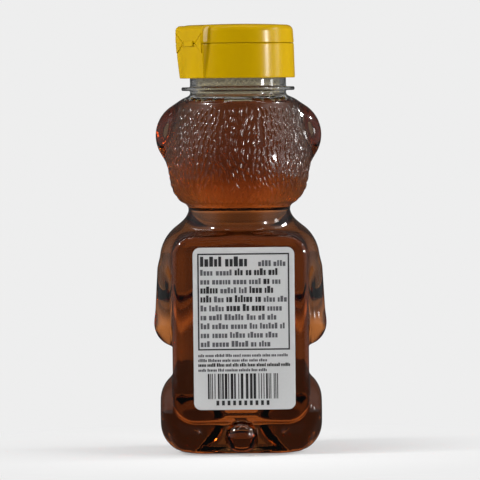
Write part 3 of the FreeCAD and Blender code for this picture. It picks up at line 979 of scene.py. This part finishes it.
def base_form(p):
    out, across, off, z = hinge_frame(p)
    draft = CAP_DRAFT / (PARTING - CAP_BOTTOM)
    outer = off - (CAP_RADIUS + draft * (PARTING - z))
    fade = np.clip((PARTING - z) / (PARTING - CAP_BOTTOM - PAD_FOOT), 0, 1.2) * PAD_FADE
    pad = hinge_pad(out - (CAP_RADIUS - fade), out, across, PAD_HALF - fade)
    body = smooth_union(outer, pad, PAD_BLEND)
    body = rounded_meet(body, np.maximum(z - PARTING, CAP_BOTTOM - z), CAP_EDGE)
    body = smooth_cut(body, np.maximum(off - CAP_INNER, z - DECK_UNDER), CAP_BORE_EDGE)
    ring_wall = np.abs(off - LANDING_RADIUS + LANDING_WALL / 2) - LANDING_WALL / 2
    landing = rounded_meet(ring_wall, np.abs(z - PARTING) - LANDING_HEIGHT, CAP_EDGE)
    spout = rounded_meet(off - SPOUT_RADIUS, np.abs(z - PARTING) - SPOUT_HEIGHT, SPOUT_EDGE)
    landing = np.maximum(landing, DECK_UNDER - z)
    spout = np.maximum(spout, DECK_UNDER - z)
    body = joined(body, (landing, CAP_BLEND), (spout, SPOUT_BLEND))
    body = smooth_cut(body, off - ORIFICE_RADIUS, CAP_EDGE)
    body = smooth_cut(body, pockets(out, across, z, WING_SLIT), POCKET_EDGE)
    scoop_out = SCOOP_DEPTH - CAP_RADIUS - SCOOP_RADIUS
    scoop = np.sqrt((out - scoop_out) ** 2 + across**2 + (z - PARTING + SCOOP_DROP) ** 2)
    return smooth_cut(body, scoop - SCOOP_RADIUS, SCOOP_EDGE)


def plug(off, z, roof):
    """The hollow pin under the lid that closes the orifice."""
    tip = PARTING + SPOUT_HEIGHT - PLUG_REACH
    lean = PLUG_DRAFT * np.clip((roof - z) / (roof - tip), 0, 1)
    pin = off - (ORIFICE_RADIUS - PLUG_GAP - lean)
    pin = rounded_meet(pin, np.maximum(tip - z, z - LID_TOP + LID_ROOF), CAP_EDGE)
    return np.maximum(pin, PLUG_HOLLOW - off - FAR * (z > tip + PLUG_HOLLOW_DEPTH))


def lid_form(p):
    out, across, off, z = hinge_frame(p)
    bottom = PARTING + LID_GAP
    shoulder = LID_TOP - LID_CROWN
    dome_radius = ball_over(CAP_RADIUS, LID_CROWN)
    dome = np.sqrt(off**2 + (z - LID_TOP + dome_radius) ** 2) - dome_radius
    lean = LID_DRAFT * (z - PARTING) / LID_HEIGHT
    drum = rounded_meet(off - CAP_RADIUS + lean, dome, LID_EDGE)
    pad = rounded_meet(out - CAP_RADIUS, z - shoulder, LID_EDGE)
    body = smooth_union(drum, hinge_pad(pad, out, across, PAD_HALF), PAD_BLEND)
    lip = rounded_meet(off - CAP_RADIUS - LIP_PROUD, z - bottom - LIP_HEIGHT, LIP_EDGE)
    lip = rounded_meet(lip, np.abs(across) - LIP_HALF, LIP_EDGE)
    body = smooth_union(body, np.maximum(lip, out), LIP_BLEND)
    body = rounded_meet(body, bottom - z, CAP_EDGE)
    roof = shoulder - LID_ROOF
    body = smooth_cut(body, np.maximum(off - CAP_INNER, z - roof), LID_BORE_EDGE)
    body = smooth_union(body, plug(off, z, roof), CAP_BLEND)
    return smooth_cut(body, pockets(out, across, z, WING_SLIT), POCKET_EDGE)


def from_hinge(out, across, height):
    """A point given out along the hinge direction, across it and up, in the part's own axes."""
    c, s = math.cos(HINGE_ANGLE), math.sin(HINGE_ANGLE)
    return out * c - across * s, out * s + across * c, height


def plate(name, out, rows, thickness, material):
    """A thin closed plate on the hinge pad from rows of (inner, outer, height)."""
    rings = []
    for inner, outer, height in rows:
        places = np.linspace(inner, outer, PLATE_COLUMNS)
        front = [from_hinge(out, across, height) for across in places]
        back = [from_hinge(out - thickness, across, height) for across in places]
        rings.append(front + back[::-1])
    return swept(name, rings, material)


def wing(name, side, material):
    """A triangular strap, with its corners towards the lid and the base cut a little short."""
    rows = []
    for k in range(WING_ROWS):
        share = WING_TIP * (2 * k / (WING_ROWS - 1) - 1)
        inner = WING_OUTER - WING_WIDTH * (1 - abs(share))
        rows.append((side * inner, side * WING_OUTER, PARTING + WING_HEIGHT * share))
    return plate(name, CAP_RADIUS, rows, WING_THICKNESS, material)


def film(material):
    half = FILM_WIDTH / 2
    shares = [k / (FILM_ROWS - 1) - 0.5 for k in range(FILM_ROWS)]
    rows = [(-half, half, PARTING + FILM_HEIGHT * share) for share in shares]
    out = CAP_RADIUS + FILM_THICKNESS + FILM_GAP
    return plate("hinge_film_web", out, rows, FILM_THICKNESS, material)


# Label print


INK = 0.02
BOLD, FINE = range(2)
FINE_SHARE = 0.85
BLOCK_LEAST = 0.3
BLOCK_WIDTHS = (0.26, 0.44)
BLOCK_RISES = (0.75, 0.75, 0.75, 1.0)
BLOCK_GAP = 0.11
WORD_GAP = 0.28
FRAME_SIDES = (1.65, 1.85)
FRAME_DROPS = (36.8, 2.1)
FRAME_LINE = 0.52
TEXT_SIDES = (1.0, 0.8)
TITLE_HEIGHT = 3.6
TITLE_WIDTH = 20.0
TITLE_GAP = 0.8
TITLE_DROP = 4.7
TEXT_HEIGHT = 2.5
TEXT_ROWS = 9
TEXT_DROP = 7.9
TEXT_STEP = 3.2
NOTE_HEIGHT = 1.25
NOTE_ROWS = 4
NOTE_DROP = 2.4
NOTE_STEP = 1.75
BAR_SIDES = (5.0, 6.0)
BAR_DROPS = (54.3, 45.2)
BAR_WIDTHS = (0.3, 0.3, 0.6, 0.9)
BAR_GAPS = (0.3, 0.35, 0.6, 0.9)
SQUARES = 10
SQUARES_LEFT = 8.0
SQUARE_DROPS = (56.6, 54.9)
SQUARE_WIDTH = 1.0
SQUARE_STEP = 2.0


def bar(bm, left, right, bottom, top, face, ink=BOLD):
    """A thin closed block of ink on the label."""
    corners = [(left, bottom), (right, bottom), (right, top), (left, top)]
    front = [bm.verts.new((x * MM, (face - INK) * MM, z * MM)) for x, z in corners]
    back = [bm.verts.new((x * MM, face * MM, z * MM)) for x, z in corners]
    made = [bm.faces.new(front), bm.faces.new(back[::-1])]
    for k in range(4):
        j = (k + 1) % 4
        made.append(bm.faces.new((front[j], front[k], back[k], back[j])))
    for side in made:
        side.material_index = ink


def word_row(bm, draw, left, right, bottom, height, face, words, inks):
    """A row of words, each a run of plain blocks about as wide as letters of that size."""
    x = left
    while x < right - height:
        end = min(x + draw.uniform(*words), right)
        ink = draw.choice(inks)
        tall = height if ink == BOLD else FINE_SHARE * height
        while x < end - BLOCK_LEAST * height:
            width = height * draw.uniform(*BLOCK_WIDTHS)
            top = bottom + tall * draw.choice(BLOCK_RISES)
            bar(bm, x, min(x + width, end), bottom, top, face, ink)
            x += width + BLOCK_GAP * height
        x += WORD_GAP * height


def frame_line(bm, left, right, bottom, top, face):
    low, high = bottom + FRAME_LINE, top - FRAME_LINE
    bar(bm, left, right, high, top, face)
    bar(bm, left, right, bottom, low, face)
    bar(bm, left, left + FRAME_LINE, low, high, face)
    bar(bm, right - FRAME_LINE, right, low, high, face)


def text_rows(bm, draw, left, right, bottom, top, face):
    """The rows within the frame, and the smaller rows under it."""
    start, end = left + TEXT_SIDES[0], right - TEXT_SIDES[1]
    split = start + TITLE_WIDTH
    base = top - TITLE_DROP
    word_row(bm, draw, start, split, base, TITLE_HEIGHT, face, (8.8, 9.4), (BOLD,))
    word_row(bm, draw, split + TITLE_GAP, end, base, TEXT_HEIGHT, face, (4, 8), (FINE,))
    for k in range(TEXT_ROWS):
        inks = (BOLD, FINE) if k < 5 else (FINE,)
        base = top - TEXT_DROP - TEXT_STEP * k
        word_row(bm, draw, start, end - 2 * (k % 3), base, TEXT_HEIGHT, face, (2.5, 7), inks)
    for k in range(NOTE_ROWS):
        base = bottom - NOTE_DROP - NOTE_STEP * k
        inks = (BOLD,) if k == 2 else (FINE,)
        word_row(bm, draw, left, right - 8 * (k % 2), base, NOTE_HEIGHT, face, (2, 5), inks)


def label_print(*materials):
    low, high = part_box("back_label")
    left, right = low.x / MM, high.x / MM
    top = high.z / MM
    face = low.y / MM
    draw = random.Random(3)
    bm = bmesh.new()
    sides = left + FRAME_SIDES[0], right - FRAME_SIDES[1]
    levels = [top - drop for drop in FRAME_DROPS]
    frame_line(bm, *sides, *levels, face)
    text_rows(bm, draw, *sides, *levels, face)
    x = left + BAR_SIDES[0]
    levels = [top - drop for drop in BAR_DROPS]
    while x < right - BAR_SIDES[1]:
        width = draw.choice(BAR_WIDTHS)
        bar(bm, x, x + width, *levels, face)
        x += width + draw.choice(BAR_GAPS)
    levels = [top - drop for drop in SQUARE_DROPS]
    for k in range(SQUARES):
        x = left + SQUARES_LEFT + SQUARE_STEP * k
        bar(bm, x, x + SQUARE_WIDTH, *levels, face)
    mesh = mesh_from("label_print", bm)
    obj = object_of("label_print", mesh, *materials)
    mesh.shade_flat()
    return obj


# Stage


BACKDROP = (0.855, 0.855, 0.855, 1)
ROOM = (0.9, 0.95, 1.0, 1)
FLOOR_RADIUS = 0.4
SHADOW_NEAR = 0.03
SHADOW_FAR = 0.12
SHADOW_SHARE = 0.4
FLOOR_MIRRORED = 0.04
ROUND = 96
FLAG_RADIUS = 0.08
FLAG_HEIGHT = 0.03
LIGHT_AIM = (0, 0, 0.09)
CAMERA_PLACE = (0, -1.5, 0.1354)
CAMERA_AIM = (0.00015, 0, 0.0767)
CAMERA_ROLL = math.radians(-0.6)
CAMERA_LENS = 310
CAMERA_SENSOR = 36


def math_node(tree, operation, first, second):
    made = tree.nodes.new("ShaderNodeMath")
    made.operation = operation
    for socket, value in zip(made.inputs, (first, second)):
        if isinstance(value, float):
            socket.default_value = value
        else:
            tree.links.new(value, socket)
    return made.outputs["Value"]


def mixed_shader(tree, share, first, second):
    mix = tree.nodes.new("ShaderNodeMixShader")
    tree.links.new(share, mix.inputs["Fac"])
    tree.links.new(first, mix.inputs[1])
    tree.links.new(second, mix.inputs[2])
    return mix.outputs["Shader"]


def smooth_range(tree, value, start, end, low, high):
    """Goes smoothly from low to high while the value goes from start to end."""
    made = node(tree, "ShaderNodeMapRange", From_Min=start, From_Max=end, To_Min=low, To_Max=high)
    made.interpolation_type = "SMOOTHSTEP"
    tree.links.new(value, made.inputs["Value"])
    return made.outputs["Result"]


def stage_object(name, bm, material):
    obj = object_of(name, mesh_from(name, bm), material)
    return obj


def floor():
    """A pale disc that shows the backdrop's colour, and takes the object's shadow close to it. Seen
    through the bottle it glows dimmer close to the object, a painted shadow.
    """
    bm = bmesh.new()
    bmesh.ops.create_circle(bm, cap_ends=True, segments=ROUND, radius=FLOOR_RADIUS)
    material, tree, shader = new_material("pale_floor")
    set_inputs(shader, Base_Color=BACKDROP, Roughness=1.0, Specular_IOR_Level=0.0)
    pale = node(tree, "ShaderNodeEmission", Color=BACKDROP, Strength=1.0)
    dim = node(tree, "ShaderNodeEmission", Color=BACKDROP)
    path = tree.nodes.new("ShaderNodeLightPath")
    spot = tree.nodes.new("ShaderNodeNewGeometry")
    span = tree.nodes.new("ShaderNodeVectorMath")
    span.operation = "LENGTH"
    tree.links.new(spot.outputs["Position"], span.inputs[0])
    distance = span.outputs["Value"]
    plain = smooth_range(tree, distance, SHADOW_NEAR, SHADOW_FAR, SHADOW_SHARE, 1.0)
    shown = math_node(tree, "MULTIPLY", plain, path.outputs["Is Camera Ray"])
    seen = mixed_shader(tree, shown, shader.outputs["BSDF"], pale.outputs["Emission"])
    through = path.outputs["Is Transmission Ray"]
    # Painted shadow: seen through the bottle, the floor glows dimmer close to the object
    painted_shadow_glow = smooth_range(tree, distance, 0.05, 0.3, 0.16, 0.28)
    glow = math_node(tree, "ADD", math_node(tree, "MULTIPLY", through, painted_shadow_glow), FLOOR_MIRRORED)
    tree.links.new(glow, dim.inputs["Strength"])
    behind = math_node(tree, "MAXIMUM", through, path.outputs["Is Glossy Ray"])
    both = mixed_shader(tree, behind, seen, dim.outputs["Emission"])
    tree.links.new(both, tree.nodes["Material Output"].inputs["Surface"])
    stage_object("floor", bm, material)


def low_flag():
    """A dark card round the foot of the object, seen only through it: painted shade in the bottle's
    lower part.
    """
    bm = bmesh.new()
    bmesh.ops.create_cone(
        bm, segments=ROUND, radius1=FLAG_RADIUS, radius2=FLAG_RADIUS, depth=FLAG_HEIGHT
    )
    bmesh.ops.translate(bm, verts=bm.verts, vec=(0, 0, FLAG_HEIGHT / 2))
    material, tree, shader = new_material("dark_card")
    tree.nodes.remove(shader)
    dark = node(tree, "ShaderNodeEmission", Color=BACKDROP, Strength=0.08)
    tree.links.new(dark.outputs["Emission"], tree.nodes["Material Output"].inputs["Surface"])
    obj = stage_object("low_flag", bm, material)
    obj.visible_camera = False
    obj.visible_diffuse = False
    obj.visible_glossy = False
    obj.visible_shadow = False


def seen_through(tree, x2, y2, z):
    """How much of the backdrop shows through the bottle: most a little way up, in bays round it."""
    dawn = smooth_range(tree, z, -0.1, 0.3, 0.2, 1.0)
    dusk = smooth_range(tree, z, 0.3, 0.7, 1.0, 0.25)
    rise = math_node(tree, "MULTIPLY", dawn, dusk)
    apart = math_node(tree, "SUBTRACT", x2, y2)
    flat = math_node(tree, "ADD", math_node(tree, "ADD", x2, y2), 0.02)
    side = math_node(tree, "POWER", math_node(tree, "DIVIDE", apart, flat), 2.0)
    bays = math_node(tree, "MULTIPLY", side, math_node(tree, "SUBTRACT", 1.0, side))
    return math_node(tree, "MULTIPLY", rise, smooth_range(tree, bays, 0.0, 0.25, 0.65, 1.0))


def world():
    """The backdrop for the camera and through the bottle, faint in its gloss, in a dim room."""
    made = bpy.data.worlds.new("studio")
    made.use_nodes = True
    bpy.context.scene.world = made
    tree = made.node_tree
    pale = set_inputs(tree.nodes["Background"], Color=BACKDROP)
    room = node(tree, "ShaderNodeBackground", Color=ROOM, Strength=0.03)
    path = tree.nodes.new("ShaderNodeLightPath")
    way = tree.nodes.new("ShaderNodeTexCoord")
    parts = tree.nodes.new("ShaderNodeSeparateXYZ")
    tree.links.new(way.outputs["Generated"], parts.inputs["Vector"])
    z = parts.outputs["Z"]
    x2 = math_node(tree, "POWER", parts.outputs["X"], 2.0)
    y2 = math_node(tree, "POWER", parts.outputs["Y"], 2.0)
    clear = path.outputs["Is Transmission Ray"]
    through = math_node(tree, "MULTIPLY", clear, seen_through(tree, x2, y2, z))
    above = smooth_range(tree, z, 0.1, 0.8, 0.03, 0.07)
    aside = math_node(tree, "ADD", above, smooth_range(tree, x2, 0.35, 0.9, 0.0, 0.25))
    gloss = math_node(tree, "SUBTRACT", path.outputs["Is Glossy Ray"], clear)
    behind = math_node(tree, "MAXIMUM", through, math_node(tree, "MULTIPLY", gloss, aside))
    share = math_node(tree, "MAXIMUM", path.outputs["Is Camera Ray"], behind)
    shader = mixed_shader(tree, share, room.outputs["Background"], pale.outputs["Background"])
    tree.links.new(shader, tree.nodes["World Output"].inputs["Surface"])


def softbox(name, direction, distance, width, height, power, mirrored=True):
    light = bpy.data.lights.new(name, "AREA")
    light.shape = "RECTANGLE"
    light.size = width
    light.size_y = height
    light.energy = power
    obj = in_scene(name, light)
    target = Vector(LIGHT_AIM)
    obj.location = target + Vector(direction).normalized() * distance
    obj.rotation_euler = (target - obj.location).to_track_quat("-Z", "Y").to_euler()
    obj.visible_glossy = mirrored
    obj.visible_transmission = mirrored


def camera():
    lens = bpy.data.cameras.new("camera")
    lens.lens = CAMERA_LENS
    lens.sensor_width = CAMERA_SENSOR
    obj = in_scene("camera", lens)
    obj.location = CAMERA_PLACE
    turn = (Vector(CAMERA_AIM) - obj.location).to_track_quat("-Z", "Y").to_matrix()
    obj.rotation_euler = (turn @ Matrix.Rotation(CAMERA_ROLL, 3, "Z")).to_euler()
    bpy.context.scene.camera = obj


# Assembly


def bind(obj, body, slot, *nodes):
    """Ties a piece to its body and hides the solids that it stands for. The slot is not used."""
    if body:
        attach(obj, body)
    if nodes:
        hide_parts(*nodes)


def dress(name, material):
    """Gives one of the solids its material."""
    materials = frame["nodes"][name].data.materials
    materials.clear()
    materials.append(material)


def bottle(clear):
    satin = clear_plastic("furred_bottle", 0.27, 0.32)
    shell = bottle_shell(clear, straight_through("wet_wall"), satin, smeared_wall())
    bind(shell, "bottle", "clear_bottle", "bottle")
    fill = surface(honey_body, *bear_grid(HONEY_LEVEL), INSIDE_STEP)
    bind(mesh_object("honey_fill", *fill, honey_material()), "bottle", "honey", "honey")


def threads(clear, plastic):
    root, crest = NECK_RADIUS - THREAD_SINK, NECK_RADIUS + THREAD_DEPTH
    outer = helix_ridge("neck_thread", root, crest, NECK_THREAD_START, NECK_THREAD_TURNS, clear)
    bind(outer, "bottle", "clear_bottle")
    root, crest = CAP_INNER + THREAD_SINK, CAP_INNER - THREAD_DEPTH
    inner = helix_ridge("cap_thread", root, crest, CAP_THREAD_START, CAP_THREAD_TURNS, plastic)
    bind(inner, "cap", "cap_plastic")


def cap_and_lid(plastic):
    reach = CAP_RADIUS + CAP_MARGIN
    for name, form, bottom, top, body, cad in (
        ("cap_base_shell", base_form, CAP_BOTTOM, PARTING + SPOUT_HEIGHT, "cap", "cap_base"),
        ("flip_lid_shell", lid_form, PARTING, LID_TOP, "lid", "flip_lid"),
    ):
        grid = (-reach, -reach, bottom - 1), (reach, reach, top + 1)
        moulded = field_object(name, form, *grid, CLOSURE_STEP, plastic)
        bind(moulded, body, "cap_plastic", cad)
    for piece, cad in (
        (wing("hinge_wing_left", 1, plastic), "hinge_wings"),
        (wing("hinge_wing_right", -1, plastic), "hinge_wings"),
        (film(plastic), "hinge_film"),
    ):
        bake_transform(piece)
        bind(piece, None, "cap_plastic", cad)
    dress("cap_liner", liner_foam())


def label():
    dress("back_label", label_film())
    inks = label_ink("label_ink", 0.01, 0.03), label_ink("label_fine_ink", 0.07, 0.12)
    bind(label_print(*inks), "bottle", "label_film")


def build():
    clear = clear_plastic("clear_bottle", 0.0, 0.05)
    plastic = cap_plastic()
    bottle(clear)
    threads(clear, plastic)
    cap_and_lid(plastic)
    label()


build()
floor()
low_flag()
world()
softbox("right_panel", (0.95, -0.1, 0.35), 0.9, 0.5, 0.6, 5.5, mirrored=False)
softbox("left_panel", (-0.85, -0.4, 0.45), 0.9, 0.5, 0.5, 5.5, mirrored=False)
softbox("front_panel", (0.0, -1.0, 0.4), 2.0, 1.6, 1.6, 0.6, mirrored=False)
softbox("right_lamp", (0.82, 0.1, 0.55), 0.9, 0.09, 0.09, 1.8)
softbox("left_lamp", (-0.76, -0.22, 0.61), 0.9, 0.08, 0.1, 3.0)
softbox("right_strip", (0.88, -0.48, 0.17), 0.9, 0.05, 0.12, 2.8)
softbox("far_strip", (1.0, -0.04, 0.14), 0.9, 0.12, 0.16, 0.35)
for k, across in enumerate((-0.55, -0.2, 0.15, 0.5)):
    softbox(f"ceiling_strip_{k + 1}", (across, 0.1 - 0.3 * (k % 2), 1.0), 1.1, 0.06, 0.7, 0.5)
camera()
bpy.context.scene.view_settings.view_transform = "Standard"
